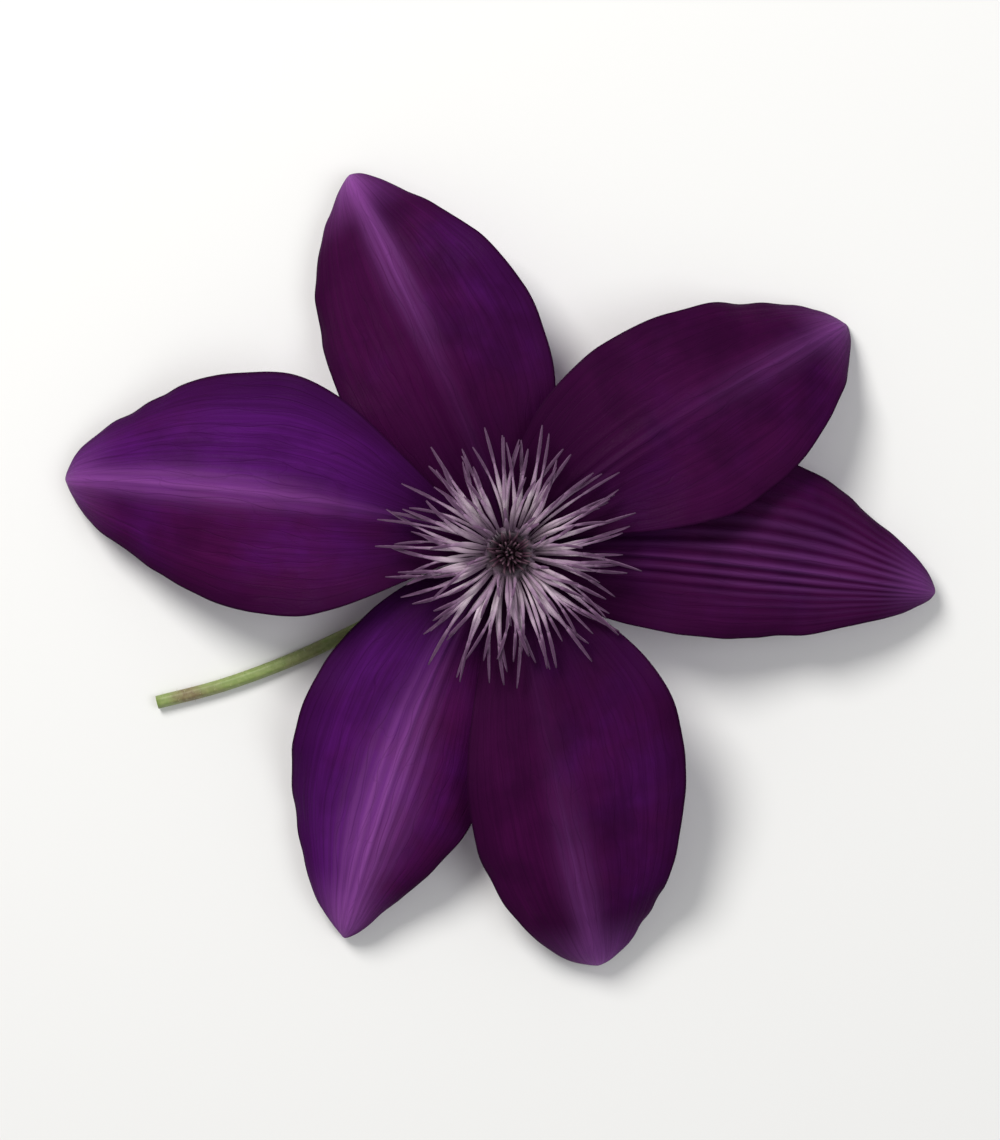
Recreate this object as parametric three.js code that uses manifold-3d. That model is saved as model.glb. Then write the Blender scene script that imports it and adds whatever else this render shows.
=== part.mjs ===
// A large-flowered clematis bloom, picked and laid face up on a flat surface: six broad pointed
// petals in two whorls, a spread of stamens, a dark tuft of styles, and the stalk, which turns
// under the flower and lies along the surface.
// Millimetres, +Z up. The origin is on the surface, under the middle of the bloom's outline.
import * as THREE from 'three';
import { mergeVertices } from 'three/addons/utils/BufferGeometryUtils.js';
import Module from 'manifold-3d';

// ---------------------------------------------------------------- driving dimensions

// Where the flower's own axis stands, seen from the origin.
const AXIS_X = 1.5;
const AXIS_Y = 2.7;

// Petals: bases, blade and the three ribs along the middle of each blade.
const LOWER_BASE_HEIGHT = 12.0;
const UPPER_BASE_HEIGHT = 13.6;
const BASE_RADIUS = 4.3;
const CLAW_HALF_WIDTH = 2.6;
const TIP_HALF_WIDTH = 0.6;
const BLADE_THICKNESS = 0.7;
const RIB_HEIGHT = 0.3;
const RIB_HEIGHT_AT_TIP = 0.1;

// Each petal's midrib runs from its base to its tip over two control points, all as
// [distance from the axis, azimuth, height]. left and right are the margins seen from above,
// looking from base to tip: [greatest half width, where along the blade, fullness of the base,
// fullness of the tip]. Angles are in degrees: roll turns the blade about its midrib (left side
// up), droop is [at the base, at the tip] of each side, wave is [height, waves, phase].
const PETALS = {
  petal_1: {
    base: [3, LOWER_BASE_HEIGHT], rise: [26, 3, 18.0],
    fall: [69.1, -5, 13.5], tip: [70.3, -5.2, 1.6],
    left: [18.6, 0.50, 1.00, 0.95], right: [12.7, 0.42, 0.45, 0.89],
    roll: 0, fold: 4, droopLeft: [8, 36], droopRight: [8, 26], wave: [0.9, 2.4, 229],
  },
  petal_2: {
    base: [48, UPPER_BASE_HEIGHT], rise: [26, 47, 22.5],
    fall: [65.8, 34, 15.5], tip: [67.0, 34.3, 0.27],
    left: [17.0, 0.40, 0.70, 0.70], right: [18.0, 0.50, 1.20, 0.88],
    roll: -7, fold: 5, droopLeft: [-10, 26], droopRight: [-12, 12], wave: [0.9, 2.1, 286],
  },
  petal_3: {
    base: [104, LOWER_BASE_HEIGHT], rise: [24, 105, 18.5],
    fall: [66.2, 113, 15.5], tip: [67.5, 112.8, 1.6],
    left: [17.9, 0.58, 0.45, 0.78], right: [18.2, 0.48, 0.65, 1.14],
    roll: -14, fold: 6, droopLeft: [8, 26], droopRight: [8, 22], wave: [0.8, 2.3, 23],
  },
  petal_4: {
    base: [150, UPPER_BASE_HEIGHT], rise: [27, 157.5, 23.0],
    fall: [72.6, 170, 16.0], tip: [74.0, 170.6, 0.24],
    left: [19.5, 0.45, 1.25, 0.75], right: [20.0, 0.49, 2.00, 0.76],
    roll: 0, fold: 5, droopLeft: [-12, 28], droopRight: [-12, 28], wave: [0.8, 2.0, 115],
  },
  petal_5: {
    base: [231, LOWER_BASE_HEIGHT], rise: [26, 229, 18.0],
    fall: [66.6, 247, 12.0], tip: [68.6, 246.6, 1.8],
    left: [15.4, 0.55, 1.20, 1.10], right: [18.3, 0.50, 0.75, 0.77],
    roll: 6, fold: 6, droopLeft: [8, 30], droopRight: [10, 30], wave: [1.0, 2.6, 57],
  },
  petal_6: {
    base: [279, UPPER_BASE_HEIGHT], rise: [26, 280, 22.0],
    fall: [68.1, 282.2, 16.0], tip: [69.3, 282.2, 0.21],
    left: [21.9, 0.40, 0.95, 0.74], right: [15.1, 0.59, 1.10, 0.81],
    roll: 4, fold: 4, droopLeft: [-10, 26], droopRight: [-8, 24], wave: [0.8, 2.2, 172],
  },
};

// Stations along a blade, and columns across half of it: the first few carry the ribs.
const BLADE_ROWS = 22;
const HALF_COLUMNS = [0, 0.05, 0.1, 0.17, 0.34, 0.56, 0.79, 1];
const RIB_PROFILE = [1, 0.1, 0.8, 0];

// Stalk: a knob that the petals, stamens and styles grow from, and the cut pedicel under it.
const KNOB_RADIUS = 4.0;
const KNOB_BOTTOM = 10.2;
const KNOB_TOP = 15.4;
const STALK_RADIUS = 1.1;
const STALK_AZIMUTH = 204;
// The pedicel's middle line: [distance from the axis, sideways, height].
const STALK_ROUTE = [
  [0, 0, 12.0], [0.1, 0, 9.2], [1.4, 0, 5.4], [4.6, 0, 2.5], [9.5, 0.1, 1.3], [17, 0.5, 1.12],
  [28, 1.2, 1.12], [40, 1.4, 1.12], [52, 0.6, 1.12], [63, -1.2, 1.12],
];

// Stamens: a ring on the knob, and whorls of strap-like filaments with their anthers.
const SEAT_GAP = 0.3;
const RING_INNER = 2.3;
const RING_OUTER = 4.4;
const RING_BOTTOM = KNOB_TOP + SEAT_GAP;
const RING_TOP = 17.4;
const FILAMENT_WIDTH = 0.95;
const FILAMENT_THICKNESS = 0.6;
// reach and height are the tip's; knee is the arch's control point; spread is each one's variation.
const STAMEN_WHORLS = [
  { count: 26, root: 3.9, knee: [9.0, 22.6], reach: 19.8, height: 20.4, spread: 1.2 },
  { count: 20, root: 3.5, knee: [8.0, 24.6], reach: 15.8, height: 22.2, spread: 1.0 },
  { count: 14, root: 3.1, knee: [6.2, 25.0], reach: 11.0, height: 24.2, spread: 0.8 },
  { count: 10, root: 2.8, knee: [4.4, 22.5], reach: 6.2, height: 23.6, spread: 0.4 },
];
// Along a stamen: [share of its length, width and thickness as shares of the filament's].
const STAMEN_STATIONS = [[0, 1, 1.2], [0.3, 1, 1], [0.62, 0.8, 0.9], [0.74, 1.15, 1.3], [1, 0.5, 0.6]];

// Styles: a low tuft of hooked threads out of a small dome, in the hollow inside the stamens.
const DOME_RADIUS = 1.95;
const DOME_TOP = 19.0;
const STYLE_WHORLS = [
  { count: 14, lean: 3.0, height: 21.4 },
  { count: 9, lean: 1.9, height: 22.2 },
  { count: 4, lean: 0.8, height: 22.6 },
];
const STYLE_WIDTH = 0.8;
const STYLE_STATIONS = [[0, 1.2, 1.2], [0.6, 1, 1], [1, 0.5, 0.5]];

const MATERIALS = {
  petal: { color: 0x3d1050, roughness: 0.55, metalness: 0 },
  stamen: { color: 0xb9a6c0, roughness: 0.6, metalness: 0 },
  style: { color: 0x3a1430, roughness: 0.7, metalness: 0 },
  stalk: { color: 0x7d8f4a, roughness: 0.6, metalness: 0 },
};

// ---------------------------------------------------------------- helpers

const radians = THREE.MathUtils.degToRad;
const { clamp, lerp, smoothstep } = THREE.MathUtils;

// A repeatable run of numbers between 0 and 1.
function makeRandom(seed) {
  let state = seed;
  return () => {
    state = (state * 1664525 + 1013904223) % 4294967296;
    return state / 4294967296;
  };
}

// A point given round the flower's axis.
function around(distance, azimuth, height) {
  const angle = radians(azimuth);
  return new THREE.Vector3(
    AXIS_X + distance * Math.cos(angle), AXIS_Y + distance * Math.sin(angle), height);
}

const wasm = await Module();
wasm.setup();

function toSolid(geometry) {
  const bare = geometry.clone();
  bare.deleteAttribute('normal');
  bare.deleteAttribute('uv');
  const merged = mergeVertices(bare);
  return new wasm.Manifold(new wasm.Mesh({
    numProp: 3,
    vertProperties: new Float32Array(merged.attributes.position.array),
    triVerts: new Uint32Array(merged.index.array),
  }));
}

function fuse(geometries) {
  let solid = toSolid(geometries[0]);
  for (const geometry of geometries.slice(1)) {
    solid = solid.add(toSolid(geometry));
  }
  const mesh = solid.getMesh();
  const fused = new THREE.BufferGeometry();
  fused.setAttribute('position', new THREE.BufferAttribute(mesh.vertProperties, 3));
  fused.setIndex(new THREE.BufferAttribute(mesh.triVerts, 1));
  return fused;
}

function meshOf(name, geometry, look) {
  geometry.computeVertexNormals();
  const mesh = new THREE.Mesh(geometry, new THREE.MeshStandardMaterial(MATERIALS[look]));
  mesh.name = name;
  return mesh;
}

// ---------------------------------------------------------------- petals

// Half width of one side of a blade at the share u of its length.
function halfWidth([greatest, place, baseFullness, tipFullness], u) {
  const onBase = u < place;
  const swell = onBase
    ? Math.sin(Math.PI / 2 * u / place) ** baseFullness
    : Math.cos(Math.PI / 2 * clamp((u - place) / (1 - place), 0, 1)) ** tipFullness;
  const least = onBase ? CLAW_HALF_WIDTH : TIP_HALF_WIDTH;
  return least + (greatest - least) * swell;
}

// A petal's middle surface: u runs from base to tip, v from -1 at the right margin to 1 at the left.
function petalSurface(petal) {
  const [baseAzimuth, baseHeight] = petal.base;
  const midrib = new THREE.CubicBezierCurve3(
    around(BASE_RADIUS, baseAzimuth, baseHeight), around(...petal.rise),
    around(...petal.fall), around(...petal.tip));
  const [waveHeight, waves, wavePhase] = petal.wave;
  return (u, v) => {
    const along = midrib.getTangentAt(u);
    const left = new THREE.Vector3(-along.y, along.x, 0).normalize();
    const roll = radians(petal.roll) * smoothstep(u, 0, 1);
    left.applyAxisAngle(along, roll);
    const up = new THREE.Vector3().crossVectors(along, left);
    const side = v < 0 ? -1 : 1;
    const out = Math.abs(v);
    const width = halfWidth(v < 0 ? petal.right : petal.left, u);
    const droop = v < 0 ? petal.droopRight : petal.droopLeft;
    const bend = radians(lerp(droop[0], droop[1], smoothstep(u, 0.25, 0.95)));
    const fold = radians(petal.fold) * smoothstep(u, 0.1, 0.9);
    const across = side * width * (Math.sin(fold + bend * out) - Math.sin(fold)) / bend;
    const wavy = waveHeight * out ** 2.2 * smoothstep(u, 0.12, 0.4) * (1 - smoothstep(u, 0.85, 1))
      * Math.sin(2 * Math.PI * waves * u + radians(wavePhase) + 1.3 * side);
    const lift = width * (Math.cos(fold + bend * out) - Math.cos(fold)) / bend + wavy;
    return midrib.getPointAt(u).addScaledVector(left, across).addScaledVector(up, lift);
  };
}

// The blade closed all round: the middle surface moved out both ways by half its thickness.
function petalGeometry(petal) {
  const surface = petalSurface(petal);
  const columns = [...HALF_COLUMNS.slice(1).map((v) => -v).reverse(), ...HALF_COLUMNS];
  const middle = HALF_COLUMNS.length - 1;
  const rowLength = columns.length;
  const faceSize = (BLADE_ROWS + 1) * rowLength;
  const step = 1e-3;
  const positions = new Float32Array(2 * faceSize * 3);
  for (let row = 0; row <= BLADE_ROWS; row++) {
    // Rows draw together towards the tip, where the outline turns fastest.
    const u = Math.sin(Math.PI / 2 * row / BLADE_ROWS) ** 1.15;
    for (let column = 0; column < rowLength; column++) {
      const v = columns[column];
      const point = surface(u, v);
      const near = Math.min(u, 1 - step);
      const inner = clamp(v, step - 1, 1 - step);
      const alongU = surface(near + step, inner).sub(surface(near, inner));
      const alongV = surface(near, inner + step).sub(surface(near, inner - step));
      const normal = alongU.cross(alongV).normalize();
      const rib = RIB_PROFILE[Math.abs(column - middle)] ?? 0;
      const half = BLADE_THICKNESS / 2 + rib * lerp(RIB_HEIGHT, RIB_HEIGHT_AT_TIP, u);
      const index = row * rowLength + column;
      point.clone().addScaledVector(normal, half).toArray(positions, 3 * index);
      point.addScaledVector(normal, -half).toArray(positions, 3 * (index + faceSize));
    }
  }
  const indices = [];
  for (let row = 0; row < BLADE_ROWS; row++) {
    for (let column = 0; column < rowLength - 1; column++) {
      const a = row * rowLength + column;
      const b = a + rowLength;
      indices.push(a, b, b + 1, a, b + 1, a + 1);
      indices.push(a + faceSize, b + faceSize + 1, b + faceSize);
      indices.push(a + faceSize, a + faceSize + 1, b + faceSize + 1);
    }
  }
  // The rim joins the two faces, once round the outline.
  const outline = [];
  for (let column = 0; column < rowLength - 1; column++) outline.push(column);
  for (let row = 0; row < BLADE_ROWS; row++) outline.push(row * rowLength + rowLength - 1);
  for (let column = rowLength - 1; column > 0; column--) outline.push(BLADE_ROWS * rowLength + column);
  for (let row = BLADE_ROWS; row > 0; row--) outline.push(row * rowLength);
  outline.forEach((here, place) => {
    const next = outline[(place + 1) % outline.length];
    indices.push(here, next, next + faceSize, here, next + faceSize, here + faceSize);
  });
  const geometry = new THREE.BufferGeometry();
  geometry.setAttribute('position', new THREE.BufferAttribute(positions, 3));
  geometry.setIndex(indices);
  return geometry;
}

// ---------------------------------------------------------------- threads: stamens and styles

// A four-sided strap along a curve, its width lying level.
function threadGeometry(curve, stations, width, thickness) {
  const positions = [];
  for (const [share, wide, thick] of stations) {
    const centre = curve.getPointAt(share);
    const along = curve.getTangentAt(share);
    const level = new THREE.Vector3(-along.y, along.x, 0).normalize();
    const up = new THREE.Vector3().crossVectors(along, level);
    const halfWide = width * wide / 2;
    const halfThick = thickness * thick / 2;
    for (const [sideways, upward] of [[1, 0], [0, 1], [-1, 0], [0, -1]]) {
      const corner = centre.clone()
        .addScaledVector(level, sideways * halfWide).addScaledVector(up, upward * halfThick);
      positions.push(corner.x, corner.y, corner.z);
    }
  }
  const indices = [0, 2, 1, 0, 3, 2];
  const last = 4 * (stations.length - 1);
  indices.push(last, last + 1, last + 2, last, last + 2, last + 3);
  for (let start = 0; start < last; start += 4) {
    for (let side = 0; side < 4; side++) {
      const a = start + side;
      const b = start + (side + 1) % 4;
      indices.push(a, b, b + 4, a, b + 4, a + 4);
    }
  }
  const geometry = new THREE.BufferGeometry();
  geometry.setAttribute('position', new THREE.Float32BufferAttribute(positions, 3));
  geometry.setIndex(indices);
  return geometry;
}

// A solid of revolution about the flower's axis, from a closed outline of [radius, height].
function turned(outline, sides) {
  const points = outline.map(([radius, height]) => new THREE.Vector2(radius, height));
  return new THREE.LatheGeometry(points, sides).rotateX(Math.PI / 2).translate(AXIS_X, AXIS_Y, 0);
}

function stamens() {
  const random = makeRandom(7);
  const vary = (spread) => spread * (2 * random() - 1);
  const pieces = [turned([
    [RING_INNER, RING_BOTTOM], [RING_OUTER, RING_BOTTOM], [RING_OUTER, RING_TOP - 0.7],
    [RING_OUTER - 0.8, RING_TOP], [RING_INNER, RING_TOP], [RING_INNER, RING_BOTTOM],
  ], 24)];
  for (const { count, root, knee, reach, height, spread } of STAMEN_WHORLS) {
    const phase = 360 * random();
    for (let i = 0; i < count; i++) {
      const azimuth = phase + 360 * (i + vary(0.22)) / count;
      const turn = vary(5);
      const curve = new THREE.QuadraticBezierCurve3(
        around(root, azimuth, RING_TOP - 1.1),
        around(knee[0], azimuth - turn / 2, knee[1] + vary(0.4)),
        around(reach + vary(spread), azimuth + turn / 2, height + vary(0.35)));
      pieces.push(threadGeometry(curve, STAMEN_STATIONS, FILAMENT_WIDTH, FILAMENT_THICKNESS));
    }
  }
  return meshOf('stamens', fuse(pieces), 'stamen');
}

function styles() {
  const random = makeRandom(19);
  const vary = (spread) => spread * (2 * random() - 1);
  const bottom = KNOB_TOP + SEAT_GAP;
  const pieces = [turned([
    [0, bottom], [DOME_RADIUS, bottom], [DOME_RADIUS, DOME_TOP - 1.6],
    [DOME_RADIUS * 0.75, DOME_TOP - 0.4], [0, DOME_TOP],
  ], 12)];
  for (const { count, lean, height } of STYLE_WHORLS) {
    const phase = 360 * random();
    for (let i = 0; i < count; i++) {
      const azimuth = phase + 360 * (i + vary(0.2)) / count;
      const curve = new THREE.QuadraticBezierCurve3(
        around(Math.min(1.3, lean * 0.5), azimuth, DOME_TOP - 2),
        around(lean * 0.55, azimuth, height - 0.6),
        around(lean + vary(0.25), azimuth + vary(8), height + vary(0.4)));
      pieces.push(threadGeometry(curve, STYLE_STATIONS, STYLE_WIDTH, STYLE_WIDTH));
    }
  }
  return meshOf('styles', fuse(pieces), 'style');
}

// ---------------------------------------------------------------- stalk

function stalk() {
  const knob = turned([
    [0, KNOB_BOTTOM - 0.4], [STALK_RADIUS * 1.15, KNOB_BOTTOM], [KNOB_RADIUS * 0.8, KNOB_BOTTOM + 0.7],
    [KNOB_RADIUS, KNOB_BOTTOM + 1.2], [KNOB_RADIUS, KNOB_TOP - 0.3], [KNOB_RADIUS - 0.3, KNOB_TOP],
    [0, KNOB_TOP],
  ], 24);
  const outward = radians(STALK_AZIMUTH);
  const route = new THREE.CatmullRomCurve3(STALK_ROUTE.map(([distance, sideways, height]) =>
    new THREE.Vector3(
      AXIS_X + distance * Math.cos(outward) - sideways * Math.sin(outward),
      AXIS_Y + distance * Math.sin(outward) + sideways * Math.cos(outward),
      height)));
  const section = new THREE.Shape().absarc(0, 0, STALK_RADIUS, 0, 2 * Math.PI);
  const pedicel = new THREE.ExtrudeGeometry(section, { curveSegments: 5, steps: 24, extrudePath: route });
  return meshOf('stalk', fuse([knob, pedicel]), 'stalk');
}

// ---------------------------------------------------------------- the flower

const flower = new THREE.Group();
flower.name = 'clematis_flower';
for (const [name, petal] of Object.entries(PETALS)) {
  flower.add(meshOf(name, petalGeometry(petal), 'petal'));
}
flower.add(stamens(), styles(), stalk());

export default flower;
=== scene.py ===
import math
import random

import bmesh
import bpy
from bpy.props import FloatProperty, FloatVectorProperty, IntProperty, PointerProperty
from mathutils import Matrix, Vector, noise


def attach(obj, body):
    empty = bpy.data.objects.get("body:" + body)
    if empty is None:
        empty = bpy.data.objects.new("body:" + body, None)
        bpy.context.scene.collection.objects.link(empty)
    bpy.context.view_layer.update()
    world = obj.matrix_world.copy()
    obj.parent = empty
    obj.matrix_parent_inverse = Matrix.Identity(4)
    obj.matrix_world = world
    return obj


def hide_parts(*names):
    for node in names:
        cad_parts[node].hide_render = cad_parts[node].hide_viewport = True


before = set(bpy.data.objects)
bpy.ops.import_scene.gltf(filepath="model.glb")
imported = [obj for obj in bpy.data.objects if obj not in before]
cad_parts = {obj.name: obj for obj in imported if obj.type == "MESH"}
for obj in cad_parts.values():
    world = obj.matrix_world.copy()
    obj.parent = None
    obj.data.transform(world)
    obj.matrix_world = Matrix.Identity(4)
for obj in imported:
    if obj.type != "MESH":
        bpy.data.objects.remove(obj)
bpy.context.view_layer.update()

bl_info = {
    "name": "Clematis bloom",
    "version": (1, 0, 0),
    "blender": (4, 5, 0),
    "location": "3D View > Sidebar > Clematis",
    "description": "A large-flowered clematis bloom, picked and laid face up",
    "category": "Add Mesh",
}

# ------------------------------------------------------------------ shape, in millimetres and degrees

MM = 0.001
AXIS = (1.5, 2.7)

LOWER_BASE_HEIGHT = 12.0
UPPER_BASE_HEIGHT = 13.6
BASE_RADIUS = 3.5
CLAW_HALF_WIDTH = 2.2
TIP_HALF_WIDTH = 0.4

# The midrib's control points are (distance from the flower's axis, azimuth, height), and base, which
# lies at BASE_RADIUS, has only the last two. left and right are the margins seen from above, looking
# from base to tip: (greatest half width, where along the blade, fullness of the base, fullness of the
# tip). droop is how far a side bends down, at the base and at the tip, and wave is (height, waves,
# phase) of the margin.
PETALS = {
    "petal_1": dict(
        base=(3, LOWER_BASE_HEIGHT), rise=(26, 3, 18.0),
        fall=(69.1, -5, 13.5), tip=(70.3, -5.2, 1.6),
        left=(18.6, 0.50, 1.00, 0.95), right=(12.7, 0.42, 0.45, 0.89),
        roll=0, fold=4, droop_left=(8, 36), droop_right=(8, 26), wave=(0.9, 2.4, 229)),
    "petal_2": dict(
        base=(48, UPPER_BASE_HEIGHT), rise=(26, 47, 22.5),
        fall=(65.8, 34, 15.5), tip=(67.0, 34.3, 0.27),
        left=(17.0, 0.40, 0.70, 0.70), right=(18.0, 0.50, 1.20, 0.88),
        roll=-7, fold=5, droop_left=(-10, 26), droop_right=(-12, 12), wave=(0.9, 2.1, 286)),
    "petal_3": dict(
        base=(104, LOWER_BASE_HEIGHT), rise=(24, 105, 18.5),
        fall=(66.2, 113, 15.5), tip=(67.5, 112.8, 1.6),
        left=(17.9, 0.58, 0.45, 0.78), right=(18.2, 0.48, 0.65, 1.14),
        roll=-14, fold=6, droop_left=(8, 26), droop_right=(8, 22), wave=(0.8, 2.3, 23)),
    "petal_4": dict(
        base=(150, UPPER_BASE_HEIGHT), rise=(27, 157.5, 23.0),
        fall=(72.6, 170, 16.0), tip=(74.0, 170.6, 0.24),
        left=(19.5, 0.45, 1.25, 0.75), right=(20.0, 0.49, 2.00, 0.76),
        roll=0, fold=5, droop_left=(-12, 28), droop_right=(-12, 28), wave=(0.8, 2.0, 115)),
    "petal_5": dict(
        base=(231, LOWER_BASE_HEIGHT), rise=(26, 229, 18.0),
        fall=(66.6, 247, 12.0), tip=(68.6, 246.6, 1.8),
        left=(15.4, 0.55, 1.20, 1.10), right=(18.3, 0.50, 0.75, 0.77),
        roll=6, fold=6, droop_left=(8, 30), droop_right=(10, 30), wave=(1.0, 2.6, 57)),
    "petal_6": dict(
        base=(279, UPPER_BASE_HEIGHT), rise=(26, 280, 22.0),
        fall=(68.1, 282.2, 16.0), tip=(69.3, 282.2, 0.21),
        left=(21.9, 0.40, 0.95, 0.73), right=(15.2, 0.59, 1.10, 0.71),
        roll=4, fold=4, droop_left=(-10, 26), droop_right=(-8, 24), wave=(0.8, 2.2, 172)),
}
PETAL_ROWS = 170
PETAL_COLUMNS = 112
MIDRIB_CROWDING = 1.2  # above 1, the columns lie closer together at the midrib
MARGIN_WAVER = 0.35
WAVE_CLIMB = 2.2  # how steeply the wave grows towards the margin
WAVE_LEAD = 1.3  # radians that the wave is ahead at the left margin and behind at the right

# Lengths that grow with the blade: (millimetres, share of the side's width to add).
RIB_SPACING = (0.3, 0.085)
RIB_WIDTH = (0.16, 0.02)
PLEAT_SPACING = (0.9, 0.085)

OUTER_RIB = 0.8  # share of the midrib's height
RIB_AT_TIP = 0.35  # share of the height at the base
RIB_BELOW = 1.5  # how many times higher the ribs are on the underside
CREST_WIDTH = 3.2
VEINS = 8  # on each side
VEIN_CROWDING = 0.85
VEIN_DEPTH = 0.035
VEIN_DRIFT = 1.5
MARGIN_THINNING = 0.65
SMALL_CRINKLE = 0.3  # share of the broad crinkle's height
RUFFLE_CLIMB = 4  # how steeply the ruffle grows towards the margin

# How fast each noise changes, in waves a millimetre (the waver's in waves a blade), and where it is
# read, so that no two are alike.
WAVER_SCALE = 8
VEIN_SCALE = 0.12
BROAD_SCALE = 0.075
SMALL_SCALE, SMALL_PLACE = 0.27, Vector((7, 3, 1))
RUFFLE_SCALE, RUFFLE_PLACE = 0.19, Vector((3, 9, 4))

# How each petal is marked: the light bar's half width as a share of a side, its strength, where along
# the blade it starts to show and how much it breaks into stripes (the bar is partly the blade's own pale
# bar and partly a painted highlight on the ridge), how light the tip is, how red each half is (partly
# painted shade on a half that lies in shade) and how much painted shade darkens the whole blade, and how
# deep its pleats are.
PETAL_MARKS = {
    "petal_1": dict(
        bar=0.40, strength=0.45, start=0.12, stripes=1.0, tip=0.60,
        red_left=0.70, red_right=0.80, shade=0.42, pleats=1.3),
    "petal_2": dict(
        bar=0.13, strength=0.50, start=0.42, stripes=0.3, tip=0.65,
        red_left=0.90, red_right=0.85, shade=0.40, pleats=0.3),
    "petal_3": dict(
        bar=0.11, strength=0.85, start=0.32, stripes=0.15, tip=0.85,
        red_left=0.90, red_right=0.55, shade=0.31, pleats=0.6),
    "petal_4": dict(
        bar=0.12, strength=0.95, start=0.12, stripes=0.2, tip=0.55,
        red_left=0.65, red_right=0.15, shade=0.06, pleats=0.25),
    "petal_5": dict(
        bar=0.24, strength=1.25, start=0.12, stripes=0.4, tip=1.00,
        red_left=0.75, red_right=0.10, shade=0.00, pleats=0.6),
    "petal_6": dict(
        bar=0.13, strength=0.60, start=0.38, stripes=0.2, tip=0.85,
        red_left=0.55, red_right=0.95, shade=0.31, pleats=0.3),
}

# Whorls of stamens: how many, where they root, the arch's control point, how far and how high the
# tips reach, and how much the reach may differ.
STAMEN_WHORLS = [
    dict(count=66, root=3.9, knee=(9.8, 22.4), reach=19.8, height=20.4, spread=2.6),
    dict(count=36, root=3.5, knee=(8.6, 24.2), reach=17.0, height=22.0, spread=2.0),
    dict(count=22, root=3.1, knee=(6.8, 24.8), reach=12.6, height=23.8, spread=1.4),
    dict(count=9, root=2.8, knee=(4.6, 22.2), reach=7.2, height=23.4, spread=0.6),
]
STAMEN_JITTER = dict(place=0.8, turn=17, height=0.8, knee=0.5, twist=0.7)
STAMEN_WIDTHS = (0.65, 1.2)
STAMEN_ROOT_DEPTH = 1.1  # under the ring's top
FILAMENT_THICKNESS = (0.4, 0.3)  # at the root and at the anther
ANTHER_SHARE = 0.30
ANTHER_LENGTHS = (0.9, 1.1)
ANTHER_OVERLAP = 0.01
ANTHER_WIDTH = 0.72
ANTHER_THICKNESS = 0.42
ANTHER_ENDS = (0.24, 0.96)  # the part of a half wave that gives an anther its outline
ANTHER_TWIST = 1.3  # how many times its filament's
RING_TOP = 17.4
RING = [(2.3, 15.7), (4.4, 15.7), (4.4, 16.7), (3.6, RING_TOP), (2.3, RING_TOP), (2.3, 15.7)]
RING_STEPS = 40
STRAP_SIDES = 8
STRAP_RINGS = 8

STYLE_WHORLS = [
    dict(count=24, lean=3.5, height=21.2),
    dict(count=14, lean=2.2, height=22.0),
    dict(count=7, lean=0.8, height=22.4),
]
STYLE_SEED = 19
STYLE_JITTER = dict(place=0.25, lean=0.3, height=0.5, knee=10, tip=12)
STYLE_ROOT_RADIUS = 1.5
STYLE_ROOT_DEPTH = 2.4  # under the dome's top
STYLE_TAPER = (1.3, 0.5)
STYLE_DIP = 0.2
STYLE_SIDES = 6
DOME = [(0, 15.7), (1.95, 15.7), (1.95, 17.4), (1.4, 18.6), (0, 19.0)]
DOME_STEPS = 24

KNOB = [
    (3.6, 15.4), (3.95, 15.1), (4.0, 14.2), (3.95, 12.6), (3.9, 11.5), (3.2, 10.9), (1.9, 10.4),
    (1.3, 10.0),
]
STALK_AZIMUTH = 204
STALK_ROUTE = [
    (0, 0, 9.2), (0.25, 0, 7.6), (1.4, 0, 5.4), (4.6, 0, 2.5), (9.5, 0.1, 1.3), (17, 0.5, 1.12),
    (28, 1.2, 1.12), (40, 1.4, 1.12), (52, 0.6, 1.12), (63, -1.2, 1.12),
]
STALK_STEPS = 9  # between two points of the route
STALK_FLARE = 1.15  # how many times wider it leaves the knob
STALK_FLARE_STEPS = 10
STALK_SIDES = 36
STALK_RIBS = 6
STALK_RIB_HEIGHT = 0.035  # share of the radius

HAIR_SEED = 5
HAIR_LENGTHS = (0.25, 0.6)
HAIR_LEAN = 0.35
HAIR_ROOT = 0.95  # share of the stalk's radius
HAIR_MIDDLE = 0.55
HAIR_RADII = (0.03, 0.022, 0.006)  # at the root, the middle and the tip
HAIR_CLEARANCE = 0.03  # over the surface that the flower lies on
HAIR_SLANT = Vector((0.3, 0.5, 0.8))  # gives a hair its first cross direction

# Where a colour changes, in metres, as the materials read it: distances from the flower's axis, and
# for the knob heights.
# The ring's dark colour, painted shade among the filaments' roots, gives way to theirs between these
# distances.
RING_ENDS = (0.0030, 0.0042)
# Painted shade over the filaments near the middle fades out between these distances.
FILAMENT_SHADE_ENDS = (0.0026, 0.0118)
ANTHERS_RIPEN = (0.005, 0.013)
KNOB_DARKENS = (0.0112, 0.0148)

UNDERSIDE_RIB = 0.105  # share of the side
STALK_STREAK = (0.42, 0.46, 0.2, 1)
HAIR_COLOURS = (0.55, 0.55, 0.42, 1), (0.72, 0.72, 0.62, 1)
FLOOR_SHADE = (0.7, 0.7, 0.7, 1)

# The stage, in metres and watts.
FLOOR_SIZE = 1.5
LIGHTS = {
    "key": dict(place=(-0.4, 0.55, 0.8), size=0.45, power=9.5, colour=(1.0, 0.985, 0.96)),
    "fill": dict(place=(0.5, -0.1, 1.0), size=0.7, power=3.0, colour=(0.95, 0.97, 1.0)),
}
SKY_COLOUR = (1.0, 1.0, 1.0, 1)
SKY_STRENGTH = 0.36
CAMERA_SIGHT = 20

UV_NAME = "UVMap"


# ------------------------------------------------------------------ settings

COLOUR = dict(subtype="COLOR", size=4, min=0, max=1)


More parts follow.
